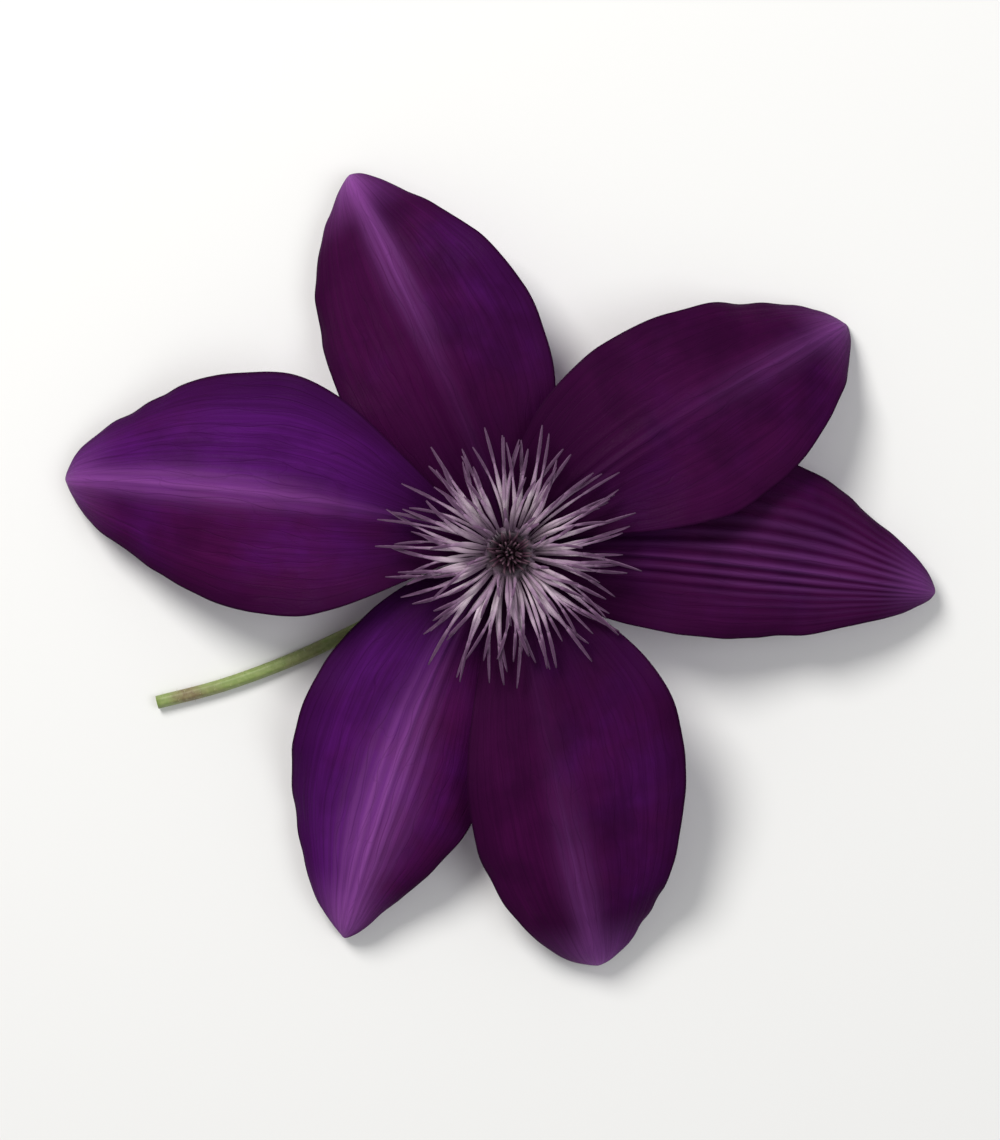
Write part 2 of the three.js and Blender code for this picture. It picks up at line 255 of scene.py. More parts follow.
class ClematisPetalSettings(bpy.types.PropertyGroup):
    """Sizes and colours of the petals."""
    thickness: FloatProperty(
        name="Thickness", description="How thick a blade is", default=0.0004, min=0.0001, unit="LENGTH",
        precision=5)
    rib: FloatProperty(
        name="Rib", description="How far the ribs stand out at the base", default=0.00028, unit="LENGTH",
        precision=5)
    pleat: FloatProperty(
        name="Pleat", description="Depth of the pleats beside the ribs", default=0.00016, unit="LENGTH",
        precision=5)
    crest: FloatProperty(
        name="Crest", description="Height of the soft ridge along the middle", default=0.0006,
        unit="LENGTH", precision=5)
    crinkle: FloatProperty(
        name="Crinkle", description="Height of the blade's soft unevenness", default=0.0004,
        unit="LENGTH", precision=5)
    ruffle: FloatProperty(
        name="Ruffle", description="Height of the fine waves along the margins", default=0.0006,
        unit="LENGTH", precision=5)
    violet: FloatVectorProperty(
        name="Violet", description="Blue violet of the face", default=(0.075, 0.0060, 0.124, 1), **COLOUR)
    plum: FloatVectorProperty(
        name="Plum", description="Red violet of the face", default=(0.060, 0.0036, 0.051, 1), **COLOUR)
    # Deep is also the colour of the painted shade at the base, along the margins, in clouds and at the
    # rim.
    deep: FloatVectorProperty(
        name="Deep", description="Darkest violet, at the base and the margins",
        default=(0.018, 0.0010, 0.017, 1), **COLOUR)
    # Lavender is also the colour of the painted highlight along the ridge, mixed into the light bar.
    lavender: FloatVectorProperty(
        name="Lavender", description="Light bar along the ribs and the tip",
        default=(0.28, 0.074, 0.345, 1), **COLOUR)
    underside: FloatVectorProperty(
        name="Underside", description="Pale mauve of the underside",
        default=(0.36, 0.19, 0.44, 1), **COLOUR)
    bar: FloatVectorProperty(
        name="Underside bar", description="Greenish bar along the underside",
        default=(0.50, 0.52, 0.34, 1), **COLOUR)


class ClematisStamenSettings(bpy.types.PropertyGroup):
    """Sizes and colours of the stamens."""
    width: FloatProperty(
        name="Width", description="Width of a filament", default=0.0008, unit="LENGTH", precision=5)
    seed: IntProperty(name="Seed", description="Seed of the stamens' small differences", default=7)
    filament: FloatVectorProperty(
        name="Filament", description="Lilac white of the filaments",
        default=(0.68, 0.54, 0.64, 1), **COLOUR)
    # The colour of the painted shade over the filaments' roots, among the crowded stamens.
    filament_root_shade: FloatVectorProperty(
        name="Filament root", description="Duller lilac of the roots",
        default=(0.24, 0.155, 0.22, 1), **COLOUR)
    # The ring's dark plum is painted shade among the filaments' roots.
    ring: FloatVectorProperty(
        name="Ring", description="Dark plum of the ring that the stamens stand on",
        default=(0.03, 0.012, 0.025, 1), **COLOUR)
    anther: FloatVectorProperty(
        name="Anther", description="Dark purple of the anthers",
        default=(0.072, 0.027, 0.071, 1), **COLOUR)
    anther_edge: FloatVectorProperty(
        name="Anther edge", description="Pale seams along the anthers",
        default=(0.23, 0.125, 0.225, 1), **COLOUR)


class ClematisStyleSettings(bpy.types.PropertyGroup):
    """Sizes and colours of the styles."""
    width: FloatProperty(
        name="Width", description="Width of a style", default=0.0005, unit="LENGTH", precision=5)
    dark: FloatVectorProperty(
        name="Dark", description="Dark plum of the tuft", default=(0.035, 0.008, 0.022, 1), **COLOUR)
    silver: FloatVectorProperty(
        name="Silver", description="Silky tips", default=(0.16, 0.09, 0.12, 1), **COLOUR)


class ClematisStalkSettings(bpy.types.PropertyGroup):
    """Sizes and colours of the stalk."""
    radius: FloatProperty(
        name="Radius", description="Radius of the stalk", default=0.00105, unit="LENGTH", precision=5)
    hairs: IntProperty(name="Hairs", description="How many fine hairs the stalk has", default=420, min=0)
    green: FloatVectorProperty(
        name="Green", description="Green of the stalk", default=(0.20, 0.27, 0.07, 1), **COLOUR)
    flush: FloatVectorProperty(
        name="Flush", description="Bronze flush on the stalk", default=(0.16, 0.06, 0.05, 1), **COLOUR)
    heart: FloatVectorProperty(
        name="Heart", description="Dark plum of the knob inside the flower",
        default=(0.018, 0.005, 0.014, 1), **COLOUR)


class ClematisStageSettings(bpy.types.PropertyGroup):
    """Floor, lights and camera."""
    floor: FloatVectorProperty(
        name="Floor", description="Colour of the floor", default=(0.80, 0.80, 0.79, 1), **COLOUR)
    distance: FloatProperty(
        name="Distance", description="From the camera to the floor", default=1.2, unit="LENGTH")
    view_width: FloatProperty(
        name="View width", description="Width of floor that the camera sees", default=0.165,
        unit="LENGTH")


# ------------------------------------------------------------------ shapes

def smooth(low, high, value):
    """0 below low, 1 above high, and a smooth step between."""
    share = min(max((value - low) / (high - low), 0.0), 1.0)
    return share * share * (3 - 2 * share)


def lerp(a, b, share):
    return a + (b - a) * share


def around(distance, azimuth, height):
    """A point given round the flower's axis."""
    angle = math.radians(azimuth)
    return Vector((AXIS[0] + distance * math.cos(angle), AXIS[1] + distance * math.sin(angle), height))


def level_and_up(along, turn):
    """A level direction across another and the one upright to both, turned about it by an angle."""
    level = Vector((-along.y, along.x, 0)).normalized()
    up = along.cross(level)
    return level * math.cos(turn) + up * math.sin(turn), up * math.cos(turn) - level * math.sin(turn)


def either_way(draw, most):
    """A random amount from -most to most."""
    return draw.uniform(-most, most)


def spread_round(draw, whorls, jitter):
    """(whorl, azimuth) of each piece in some whorls, a little out of step with its neighbours."""
    for whorl in whorls:
        phase = draw.uniform(0, 360)
        for index in range(whorl["count"]):
            place = index + either_way(draw, jitter["place"])
            yield whorl, phase + 360 * place / whorl["count"]


def bezier(points, t):
    """(point, direction) on a Bezier curve of three or four control points."""
    rows = [list(points)]
    while len(rows[-1]) > 1:
        last = rows[-1]
        rows.append([last[i].lerp(last[i + 1], t) for i in range(len(last) - 1)])
    return rows[-1][0], (rows[-2][1] - rows[-2][0]).normalized()


def even_steps(points, shares, chords=200):
    """(point, direction) at these shares of a Bezier curve's length."""
    knots = [bezier(points, i / chords)[0] for i in range(chords + 1)]
    lengths = [0.0]
    for i in range(chords):
        lengths.append(lengths[-1] + (knots[i + 1] - knots[i]).length)
    found = []
    chord = 0
    for share in shares:
        wanted = share * lengths[-1]
        while chord < chords - 1 and lengths[chord + 1] < wanted:
            chord += 1
        inside = (wanted - lengths[chord]) / (lengths[chord + 1] - lengths[chord])
        found.append(bezier(points, (chord + inside) / chords))
    return found


def half_width(margin, u):
    greatest, place, base_fullness, tip_fullness = margin
    if u < place:
        swell = math.sin(math.pi / 2 * u / place) ** base_fullness
        return lerp(CLAW_HALF_WIDTH, greatest, swell)
    swell = max(math.cos(math.pi / 2 * (u - place) / (1 - place)), 0.0) ** tip_fullness
    return lerp(TIP_HALF_WIDTH, greatest, swell)


def petal_row(petal, u, centre, along):
    """What a row across the blade needs: its middle, axes and fold, and both sides' widths and bends."""
    left, up = level_and_up(along, math.radians(petal["roll"]) * smooth(0, 1, u))
    bend_share = smooth(0.25, 0.95, u)
    waver = MARGIN_WAVER * smooth(0.15, 0.35, u) * (1 - smooth(0.85, 1, u))
    sides = {}
    for side, margin, droop in ((1, "left", "droop_left"), (-1, "right", "droop_right")):
        uneven = waver * noise.noise(Vector((WAVER_SCALE * u, petal["base"][0], side)))
        bend = math.radians(lerp(*petal[droop], bend_share))
        sides[side] = (half_width(petal[margin], u) + uneven, bend)
    return centre, left, up, math.radians(petal["fold"]) * smooth(0.1, 0.9, u), sides


def petal_point(petal, row, u, v):
    """(point, width of this side) on the middle surface; v is 1 at the left margin and -1 at the right."""
    centre, left, up, fold, sides = row
    side = -1 if v < 0 else 1
    width, bend = sides[side]
    out = abs(v)
    across = side * width * (math.sin(fold + bend * out) - math.sin(fold)) / bend
    lift = width * (math.cos(fold + bend * out) - math.cos(fold)) / bend
    height, waves, phase = petal["wave"]
    lift += (height * out ** WAVE_CLIMB * smooth(0.12, 0.4, u) * (1 - smooth(0.85, 1, u))
             * math.sin(2 * math.pi * waves * u + math.radians(phase) + WAVE_LEAD * side))
    return centre + left * across + up * lift, width


def ridge(distance, width):
    return math.exp(-(distance / width) ** 2)


def grown(size, width):
    """A length that grows with the blade."""
    return size[0] + size[1] * width


def petal_relief(settings, u, v, width, point):
    """How far the two faces stand out from the middle surface: (upper, lower), in millimetres."""
    out = abs(v)
    distance = out * width
    spread = grown(RIB_WIDTH, width)
    ribs = ridge(distance, spread) + OUTER_RIB * ridge(distance - grown(RIB_SPACING, width), spread)
    fade = lerp(1, RIB_AT_TIP, u) * (1 - smooth(0.93, 1, u))
    rib = settings.rib / MM * fade
    drift = VEIN_DRIFT * noise.noise(point * VEIN_SCALE)
    veins = math.cos(2 * math.pi * VEINS * out ** VEIN_CROWDING + drift)
    fine = VEIN_DEPTH * max(veins, 0) ** 2 * smooth(0.12, 0.3, out) * (1 - smooth(0.9, 1, out))
    half = settings.thickness / MM / 2 * (1 - MARGIN_THINNING * smooth(0.9, 1, out))
    return half + rib * ribs - fine, half + RIB_BELOW * rib * ribs + fine


def petal_unevenness(settings, pleats, u, v, width, point):
    """How far the blade's middle surface leaves its plain form, in millimetres."""
    out = abs(v)
    distance = out * width
    ripple = math.cos(2 * math.pi * distance / grown(PLEAT_SPACING, width))
    pleat = pleats * settings.pleat / MM * ripple * (1 - smooth(0.22, 0.55, out)) * smooth(0.03, 0.2, u)
    pleat *= lerp(1.4, 0.4, u) * (1 - smooth(0.62, 0.92, u))
    crest = settings.crest / MM * ridge(distance, CREST_WIDTH)
    crest *= smooth(0.1, 0.4, u) * (1 - smooth(0.9, 1, u))
    fade = smooth(0.12, 0.35, u) * (1 - 0.6 * smooth(0.85, 1, u))
    broad = noise.noise(point * BROAD_SCALE)
    small = SMALL_CRINKLE * noise.noise(point * SMALL_SCALE + SMALL_PLACE)
    ruffle = settings.ruffle / MM * out ** RUFFLE_CLIMB
    ruffle *= noise.noise(point * RUFFLE_SCALE + RUFFLE_PLACE)
    return pleat + crest + fade * (settings.crinkle / MM * (broad + small) + ruffle)


def along_blade(level):
    """The share of a blade's length at a level of the grid, from -1 to 1; the rows crowd at the tip."""
    share = (level + 1) / 2
    return (share + math.sin(math.pi / 2 * share)) / 2


def blade_grid(mesh, petal, pleats, settings, under):
    """One face of a petal: a grid shaped to the middle surface and moved out along its normals."""
    uv = mesh.loops.layers.uv[UV_NAME]
    made = bmesh.ops.create_grid(mesh, x_segments=PETAL_COLUMNS, y_segments=PETAL_ROWS, size=1)
    points = made["verts"]
    levels = sorted({round(point.co.y, 6) for point in points})
    midrib = [around(BASE_RADIUS, *petal["base"]), around(*petal["rise"]), around(*petal["fall"]),
              around(*petal["tip"])]
    stations = even_steps(midrib, [along_blade(level) for level in levels])
    rows = {level: petal_row(petal, along_blade(level), *station)
            for level, station in zip(levels, stations)}
    place = {}
    for point in points:
        level = round(point.co.y, 6)
        u = along_blade(level)
        v = -math.copysign(abs(point.co.x) ** MIDRIB_CROWDING, point.co.x)
        point.co, width = petal_point(petal, rows[level], u, v)
        place[point] = (u, v, width)
    faces = {face for point in points for face in point.link_faces}
    if under:
        bmesh.ops.reverse_faces(mesh, faces=list(faces))
    for face in faces:
        face.smooth = True
        face.material_index = 1 if under else 0
        for loop in face.loops:
            u, v, _ = place[loop.vert]
            loop[uv].uv = (0.5 + 0.5 * v, u)
    mesh.normal_update()
    moved = {}
    for point, (u, v, width) in place.items():
        middle = point.co
        normal = -point.normal if under else point.normal
        uneven = petal_unevenness(settings, pleats, u, v, width, middle)
        upper, lower = petal_relief(settings, u, v, width, middle)
        moved[point] = middle + normal * (uneven + (-lower if under else upper))
    for point, co in moved.items():
        point.co = co * MM


def petal_mesh(petal, pleats, settings):
    mesh = bmesh.new()
    mesh.loops.layers.uv.new(UV_NAME)
    blade_grid(mesh, petal, pleats, settings, under=False)
    blade_grid(mesh, petal, pleats, settings, under=True)
    rim = [edge for edge in mesh.edges if edge.is_boundary]
    bridged = bmesh.ops.bridge_loops(mesh, edges=rim)
    for face in bridged["faces"]:
        face.smooth = True
    return mesh


def tube_template(sides, rings):
    """A straight tube of radius 1 from height 0 to 1, closed at both ends, with its place as its UVs."""
    mesh = bmesh.new()
    bmesh.ops.create_cone(mesh, cap_ends=True, segments=sides, radius1=1, radius2=1, depth=1)
    lengths = [edge for edge in mesh.edges if abs(edge.verts[0].co.z - edge.verts[1].co.z) > 0.5]
    bmesh.ops.subdivide_edges(mesh, edges=lengths, cuts=rings - 1, use_grid_fill=True)
    bmesh.ops.translate(mesh, verts=mesh.verts, vec=(0, 0, 0.5))
    uv = mesh.loops.layers.uv.new(UV_NAME)
    for face in mesh.faces:
        face.smooth = True
        for loop in face.loops:
            loop[uv].uv = (0.5 + 0.5 * loop.vert.co.x, loop.vert.co.z)
    return as_data(mesh, "tube")


def lay_tube(mesh, template, rings, stations, section=lambda x, y: (x, y)):
    """Adds a copy of the template, its ring i laid at stations[i]: (centre, level, up, half width,
    half thickness), in millimetres."""
    start = len(mesh.verts)
    mesh.from_mesh(template)
    mesh.verts.ensure_lookup_table()
    for index in range(start, len(mesh.verts)):
        point = mesh.verts[index]
        centre, level, up, wide, thick = stations[round(point.co.z * rings)]
        x, y = section(point.co.x, point.co.y)
        point.co = (centre + level * (x * wide) + up * (y * thick)) * MM


def strap_stations(control, first, last, width, thickness, twist=0.0):
    """Stations along part of a curve for a flat strap; width and thickness are functions of the share."""
    stations = []
    for ring in range(STRAP_RINGS + 1):
        share = ring / STRAP_RINGS
        centre, along = bezier(control, lerp(first, last, share))
        level, up = level_and_up(along, twist * share)
        stations.append((centre, level, up, width(share) / 2, thickness(share) / 2))
    return stations


def anther_width(share):
    return math.sin(math.pi * lerp(*ANTHER_ENDS, share)) ** 0.5


def anther_section(x, y):
    """Flattens a tube towards its middle, so that two lobes are left."""
    return x, y * (0.55 + 0.45 * abs(x))


def turned(outline, sides):
    """A solid of revolution about the flower's axis, from an outline of (radius, height)."""
    mesh = bmesh.new()
    points = [mesh.verts.new((AXIS[0] + radius, AXIS[1], height)) for radius, height in outline]
    edges = [mesh.edges.new(pair) for pair in zip(points, points[1:])]
    bmesh.ops.spin(mesh, geom=points + edges, cent=(AXIS[0], AXIS[1], 0), axis=(0, 0, 1),
                   angle=2 * math.pi, steps=sides, use_merge=True)
    bmesh.ops.remove_doubles(mesh, verts=mesh.verts, dist=1e-4)
    bmesh.ops.recalc_face_normals(mesh, faces=mesh.faces)
    bmesh.ops.scale(mesh, vec=(MM, MM, MM), verts=mesh.verts)
    mesh.loops.layers.uv.new(UV_NAME)
    for face in mesh.faces:
        face.smooth = True
    return as_data(mesh, "turned")


def as_data(mesh, name):
    """Moves a mesh from the modelling tools into the file's data."""
    data = bpy.data.meshes.new(name)
    mesh.to_mesh(data)
    mesh.free()
    return data


def add_piece(mesh, name, materials, nodes):
    """Makes the piece's object, with its place in its mesh, hangs it on the root body and hides the parts
    of model.glb that it stands for.
    """
    data = as_data(mesh, name)
    for material in materials:
        data.materials.append(material)
    piece = bpy.data.objects.new(name, data)
    bpy.context.scene.collection.objects.link(piece)
    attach(piece, "root")
    for node in nodes:
        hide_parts(node)


# ------------------------------------------------------------------ materials

def new_material(name, finish):
    """(material, its nodes, its shader); finish holds the values that are the same all over."""
    material = bpy.data.materials.new(name)
    material.use_nodes = True
    shader = material.node_tree.nodes["Principled BSDF"]
    for socket, value in finish.items():
        shader.inputs[socket].default_value = value
    return material, material.node_tree, shader


def node(tree, kind, inputs=None, output=0, **settings):
    """Adds a node, sets its settings and its inputs by name or number, and gives one of its outputs."""
    added = tree.nodes.new(kind)
    for key, value in settings.items():
        setattr(added, key, value)
    for key, value in (inputs or {}).items():
        if isinstance(value, bpy.types.NodeSocket):
            tree.links.new(value, added.inputs[key])
        else:
            added.inputs[key].default_value = value
    return added.outputs[output]


def maths(tree, operation, *values):
    return node(tree, "ShaderNodeMath", dict(enumerate(values)), operation=operation)


def times(tree, first, second):
    return maths(tree, "MULTIPLY", first, second)


def step(tree, value, low, high, from_value=0.0, to_value=1.0):
    """A smooth step from from_value at low to to_value at high."""
    return node(tree, "ShaderNodeMapRange", {
        "Value": value, "From Min": low, "From Max": high, "To Min": from_value, "To Max": to_value,
    }, interpolation_type="SMOOTHSTEP")


def mix(tree, share, first, second):
    return node(tree, "ShaderNodeMix", {0: share, 6: first, 7: second}, output=2, data_type="RGBA")


def texture_noise(tree, vector, scale, detail=2.0, roughness=0.5):
    return node(tree, "ShaderNodeTexNoise", {
        "Vector": vector, "Scale": scale, "Detail": detail, "Roughness": roughness})


def add_bump(tree, shader, height, strength, depth):
    bump = node(tree, "ShaderNodeBump", {"Strength": strength, "Distance": depth, "Height": height})
    tree.links.new(bump, shader.inputs["Normal"])


def object_place(tree):
    """A point's place on the flower, in metres."""
    return node(tree, "ShaderNodeTexCoord", output=3)


def axes(tree, vector):
    """A vector's three parts."""
    split = tree.nodes.new("ShaderNodeSeparateXYZ")
    tree.links.new(vector, split.inputs[0])
    return split.outputs


def strap_coordinates(tree):
    """(share across the strap, share along it)."""
    parts = axes(tree, node(tree, "ShaderNodeUVMap", uv_map=UV_NAME))
    return parts[0], parts[1]


def petal_coordinates(tree):
    """(place across the blade from -1 to 1, its distance from the midrib, share of the length)."""
    across, along = strap_coordinates(tree)
    signed = maths(tree, "MULTIPLY_ADD", across, 2.0, -1.0)
    return signed, maths(tree, "ABSOLUTE", signed), along


def blade_streaks(tree, signed, along, across_scale, along_scale):
    """Noise that is drawn out along the blade."""
    place = node(tree, "ShaderNodeCombineXYZ", {
        0: times(tree, signed, across_scale), 1: times(tree, along, along_scale)})
    return texture_noise(tree, place, 1.0, 3.0, 0.6)


def thin_lines(tree, value, width):
    """1 where the value is a whole number, falling to 0 within the width."""
    return step(tree, maths(tree, "PINGPONG", value, 0.5), 0.0, width, 1.0, 0.0)


def vein_net(tree, signed, along):
    """Fine lines that run with the blade and fainter ones that join them: 1 on a vein, 0 between."""
    place = node(tree, "ShaderNodeCombineXYZ", {
        0: times(tree, signed, 4.0), 1: times(tree, along, 5.0)})
    drift = texture_noise(tree, place, 1.0, 1.0)
    across = maths(tree, "MULTIPLY_ADD", signed, 9.0, times(tree, drift, 2.2))
    rising = maths(tree, "MULTIPLY_ADD", along, 4.6, times(tree, drift, 3.0))
    joining = maths(tree, "MAXIMUM", thin_lines(tree, maths(tree, "ADD", across, rising), 0.05),
                    thin_lines(tree, maths(tree, "SUBTRACT", across, rising), 0.05))
    return maths(tree, "MAXIMUM", thin_lines(tree, across, 0.06), times(tree, joining, 0.5))


def petal_face_material(settings, marks):
    material, tree, shader = new_material("petal_face", {
        "Specular IOR Level": 0.02, "Sheen Weight": 0.015, "Sheen Roughness": 0.4,
        "Sheen Tint": (0.55, 0.32, 0.95, 1)})
    where = object_place(tree)
    signed, side, along = petal_coordinates(tree)
    veins = vein_net(tree, signed, along)

    # Blue violet and red violet in soft patches, each half leaning to one of them; the lean is partly the
    # blade's own colour and partly painted shade, the darker plum standing for a half that lies in shade.
    lean = step(tree, signed, -0.2, 0.2, marks["red_right"], marks["red_left"])
    patches = texture_noise(tree, where, 55.0, 4.0, 0.6)
    redness = maths(tree, "MULTIPLY_ADD", maths(tree, "SUBTRACT", patches, 0.5), 1.6, lean)
    colour = mix(tree, step(tree, redness, 0.1, 0.9), settings.violet, settings.plum)

    # Painted shade: darker towards the base (partly the blade's own darker base), towards the margins
    # where the halves slope away from the light, and in soft clouds where the blade's unevenness would
    # shade it;
    # the shade mark darkens the clouds and carries the base's shade further up the blade.
    shade = marks["shade"]
    base_dark = step(tree, along, 0.10, 0.40 + 0.8 * shade, 0.9, 0.0)
    edge_shade = step(tree, side, 0.45, 1.0, 0.0, 0.7)
    shade_clouds = step(tree, texture_noise(tree, where, 95.0, 3.0, 0.55), 0.35, 0.7, shade, shade + 0.4)
    dark = maths(tree, "MAXIMUM", maths(tree, "MAXIMUM", base_dark, edge_shade), shade_clouds)
    colour = mix(tree, dark, colour, settings.deep)

    # The light bar along the ribs, partly the blade's own pale bar and partly a painted highlight on the
    # ridge, broken by stripes and by streaks that run with the veins.
    streaks = blade_streaks(tree, signed, along, 26.0, 2.4)
    width = times(tree, step(tree, along, 0.1, 0.95, 0.7, 1.5), marks["bar"])
    reach = maths(tree, "DIVIDE", side, width)
    band = maths(tree, "EXPONENT", times(tree, times(tree, reach, reach), -1.0))
    lines = maths(tree, "COSINE", times(tree, side, 48.0))
    stripes = maths(tree, "MULTIPLY_ADD", lines, 0.5 * marks["stripes"], 1 - 0.5 * marks["stripes"])
    start, strength = marks["start"], marks["strength"]
    growth = step(tree, along, start, start + 0.5, 0.08 * strength, 0.75 * strength)
    bar = times(tree, times(tree, band, stripes), growth)
    bar = times(tree, bar, step(tree, streaks, 0.3, 0.7, 0.45, 1.15))
    # The thin light line on the midrib, partly its own colour and partly a painted highlight.
    midrib = step(tree, side, 0.008, 0.035, 0.45 * strength, 0.0)
    midrib = times(tree, midrib, step(tree, along, start, start + 0.4))
    colour = mix(tree, maths(tree, "MAXIMUM", bar, midrib), colour, settings.lavender)

    # The pale tip.
    tip = step(tree, side, 0.1, 0.9, marks["tip"], marks["tip"] / 3)
    tip = times(tree, step(tree, along, 0.8, 0.99), tip)
    colour = mix(tree, tip, colour, settings.lavender)

    # Dark streaks, dark veins, and a dark rim that is painted shade along the blade's thin edge.
    colour = mix(tree, step(tree, streaks, 0.25, 0.75, 0.0, 0.4), colour, settings.deep)
    colour = mix(tree, times(tree, veins, 0.26), colour, settings.deep)
    colour = mix(tree, step(tree, side, 0.965, 0.99, 0.0, 0.8), colour, settings.deep)
    tree.links.new(colour, shader.inputs["Base Color"])

    grain = texture_noise(tree, where, 2600.0, 3.0, 0.6)
    tree.links.new(step(tree, grain, 0.2, 0.8, 0.42, 0.62), shader.inputs["Roughness"])
    height = maths(tree, "SUBTRACT", times(tree, grain, 0.5), times(tree, veins, 0.8))
    height = maths(tree, "ADD", height, times(tree, streaks, 1.5))
    add_bump(tree, shader, height, strength=0.4, depth=0.00012)
    return material


def petal_underside_material(settings):
    material, tree, shader = new_material("petal_underside", {
        "Specular IOR Level": 0.1, "Sheen Weight": 0.08, "Sheen Roughness": 0.5,
        "Sheen Tint": (0.9, 0.8, 0.95, 1)})
    where = object_place(tree)
    signed, side, along = petal_coordinates(tree)
    veins = vein_net(tree, signed, along)

    flush = step(tree, texture_noise(tree, where, 60.0, 3.0), 0.35, 0.7, 0.0, 0.5)
    colour = mix(tree, flush, settings.underside, settings.violet)
    edge = times(tree, step(tree, side, 0.35, 1.0), 0.6)
    colour = mix(tree, edge, colour, settings.violet)
    colour = mix(tree, times(tree, veins, 0.18), colour, settings.violet)

    # The greenish bar, frayed at its sides, with its three ribs.
    streaks = blade_streaks(tree, signed, along, 22.0, 2.0)
    frayed = maths(tree, "ADD", side, maths(tree, "MULTIPLY_ADD", streaks, 0.2, -0.1))
    from_outer_rib = maths(tree, "ABSOLUTE", maths(tree, "SUBTRACT", side, UNDERSIDE_RIB))
    ribs = maths(tree, "MAXIMUM", step(tree, from_outer_rib, 0.0, 0.04, 1.0, 0.55),
                 step(tree, side, 0.0, 0.04, 1.0, 0.55))
    bar = times(tree, step(tree, frayed, 0.05, 0.30, 1.0, 0.0),
                step(tree, along, 0.5, 0.95, 0.95, 0.15))
    colour = mix(tree, times(tree, bar, ribs), colour, settings.bar)
    tree.links.new(colour, shader.inputs["Base Color"])

    grain = texture_noise(tree, where, 2200.0, 3.0, 0.6)
    tree.links.new(step(tree, grain, 0.2, 0.8, 0.5, 0.7), shader.inputs["Roughness"])
    height = maths(tree, "ADD", times(tree, grain, 0.4), veins)
    add_bump(tree, shader, height, strength=0.4, depth=0.0001)
    return material


def distance_from_axis(tree, where):
    """How far a point is from the flower's axis, in metres."""
    axis = (AXIS[0] * MM, AXIS[1] * MM, 0)
    offset = node(tree, "ShaderNodeVectorMath", {0: where, 1: axis}, operation="SUBTRACT")
    level = node(tree, "ShaderNodeVectorMath", {0: offset, 1: (1, 1, 0)}, operation="MULTIPLY")
    return node(tree, "ShaderNodeVectorMath", {0: level}, output=1, operation="LENGTH")


def filament_material(settings):
    material, tree, shader = new_material("filament", {
        "Roughness": 0.5, "Subsurface Weight": 0.25, "Subsurface Radius": (1.0, 0.7, 1.0),
        "Subsurface Scale": 0.0006, "Sheen Weight": 0.1})
    where = object_place(tree)
    across, along = strap_coordinates(tree)
    distance = distance_from_axis(tree, where)
    # Painted shade on the filaments near the middle, fading out away from the axis.
    colour = mix(tree, step(tree, distance, *FILAMENT_SHADE_ENDS), settings.filament_root_shade, settings.filament)
    colour = mix(tree, step(tree, along, 0.55, 0.98), colour, settings.anther_edge)
    # Painted shade: patches where some filaments are darkened as if in shade.
    painted_shade_blotch = step(tree, texture_noise(tree, where, 240.0, 3.0), 0.4, 0.64, 0.0, 0.75)
    colour = mix(tree, painted_shade_blotch, colour, settings.anther_edge)
    # Painted shade: the ring under the filaments is dark where shade falls among their roots.
    colour = mix(tree, step(tree, distance, *RING_ENDS), settings.ring, colour)
    tree.links.new(colour, shader.inputs["Base Color"])
    lines = maths(tree, "SINE", times(tree, across, 40.0))
    add_bump(tree, shader, lines, strength=0.3, depth=0.00005)
    return material


def anther_material(settings):
    material, tree, shader = new_material("anther", {
        "Roughness": 0.65, "Specular IOR Level": 0.25, "Sheen Weight": 0.08})
    where = object_place(tree)
    across, along = strap_coordinates(tree)
    from_middle = maths(tree, "ABSOLUTE", maths(tree, "SUBTRACT", across, 0.5))
    seam = step(tree, from_middle, 0.2, 0.5, 0.0, 0.65)
    specks = step(tree, texture_noise(tree, where, 1500.0, 2.0), 0.3, 0.65, 0.25, 1.0)
    young = step(tree, distance_from_axis(tree, where), *ANTHERS_RIPEN, 0.4, 0.0)
    joint = step(tree, along, 0.0, 0.3, 0.9, 0.0)
    pale = maths(tree, "MAXIMUM", times(tree, seam, specks), young)
    pale = maths(tree, "MAXIMUM", pale, joint)
    tree.links.new(mix(tree, pale, settings.anther, settings.anther_edge), shader.inputs["Base Color"])
    add_bump(tree, shader, texture_noise(tree, where, 4000.0, 2.0), strength=0.6, depth=0.00008)
    return material


def style_material(settings):
    material, tree, shader = new_material("style", {
        "Roughness": 0.6, "Specular IOR Level": 0.15, "Sheen Weight": 0.06,
        "Sheen Tint": (0.9, 0.82, 0.88, 1)})
    where = object_place(tree)
    _, along = strap_coordinates(tree)
    silver = times(tree, step(tree, along, 0.6, 1.0, 0.0, 0.7),
                   step(tree, texture_noise(tree, where, 900.0, 2.0), 0.35, 0.65, 0.4, 1.0))
    tree.links.new(mix(tree, silver, settings.dark, settings.silver), shader.inputs["Base Color"])
    add_bump(tree, shader, texture_noise(tree, where, 3500.0, 2.0), strength=0.5, depth=0.00006)
    return material


def stalk_material(settings):
    material, tree, shader = new_material("stalk", {
        "Roughness": 0.5, "Subsurface Weight": 0.15, "Subsurface Radius": (0.6, 1.0, 0.3),
        "Subsurface Scale": 0.0008})
    where = object_place(tree)
    flush = step(tree, texture_noise(tree, where, 120.0, 3.0), 0.42, 0.68, 0.0, 0.7)
    colour = mix(tree, flush, settings.green, settings.flush)
    fine = step(tree, texture_noise(tree, where, 1600.0, 3.0), 0.3, 0.7, 0.0, 0.25)
    colour = mix(tree, fine, colour, STALK_STREAK)
    inside = step(tree, axes(tree, where)[2], *KNOB_DARKENS)
    tree.links.new(mix(tree, inside, colour, settings.heart), shader.inputs["Base Color"])
    add_bump(tree, shader, texture_noise(tree, where, 1800.0, 3.0), strength=0.4, depth=0.0001)
    return material


